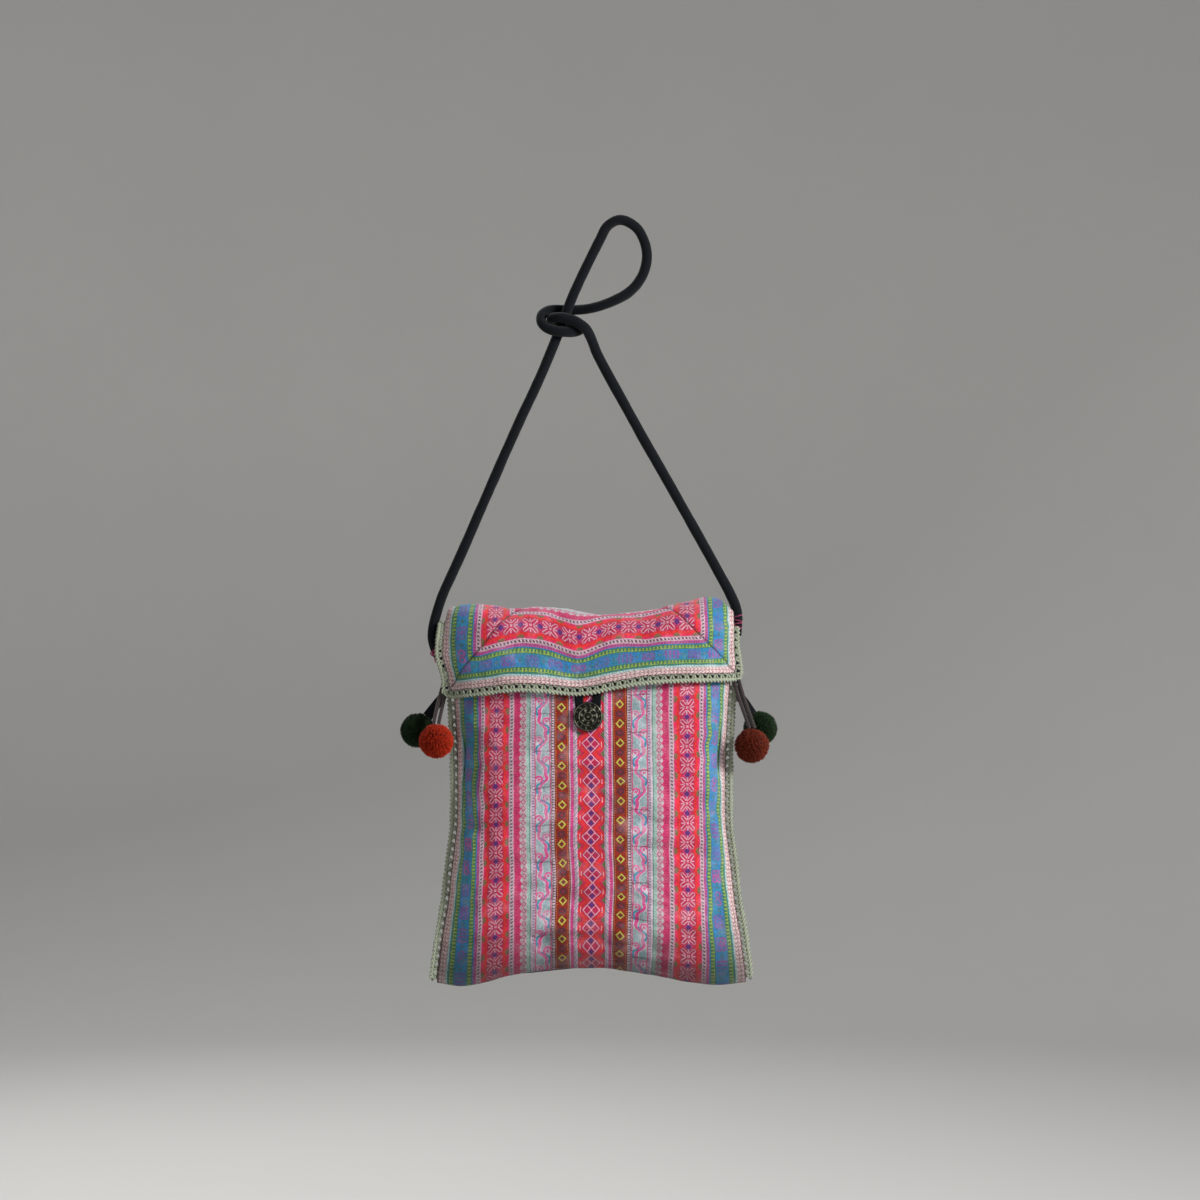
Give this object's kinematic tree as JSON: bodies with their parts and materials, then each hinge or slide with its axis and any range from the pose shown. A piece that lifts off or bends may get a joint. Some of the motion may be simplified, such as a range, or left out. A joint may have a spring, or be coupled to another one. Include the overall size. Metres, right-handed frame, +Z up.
{
  "type": "embroidered shoulder bag",
  "caption": "Flat striped cloth pouch with a mitred front flap, crocheted edging, button and loop, side pompoms and a knotted cord strap, hanging from the strap's loop.",
  "frame": {"origin": "underside of the top of the strap's loop, where a peg carries the bag", "axes": "+X to the right of the front as a viewer sees it, +Y from the front to the back, +Z up"},
  "size_m": [0.3033, 0.0633, 0.6142],
  "materials": {
    "striped_cloth": "printed, woven and cross-stitched bands of red, pink, blue and pale green",
    "crochet": "grey-green wool yarn, crocheted",
    "navy_cloth": "dark navy cotton tube and tape",
    "tie_cord": "grey-brown twisted cord",
    "orange_yarn": "orange-red yarn pile",
    "green_yarn": "dark green yarn pile",
    "button_metal": "dark worn pewter with a rubbed relief"
  },
  "bodies": {
    "root": {"pouch": "striped_cloth", "flap": "striped_cloth", "edging_left": "crochet", "edging_right": "crochet", "edging_flap": "crochet", "strap": "navy_cloth", "button_loop": "navy_cloth", "tail_left": "navy_cloth", "tail_right": "navy_cloth", "button": "button_metal", "tie_left_inner": "tie_cord", "tie_left_outer": "tie_cord", "tie_right_inner": "tie_cord", "tie_right_outer": "tie_cord", "pompom_left_orange": "orange_yarn", "pompom_right_orange": "orange_yarn", "pompom_left_green": "green_yarn", "pompom_right_green": "green_yarn"}
  },
  "joints": []
}
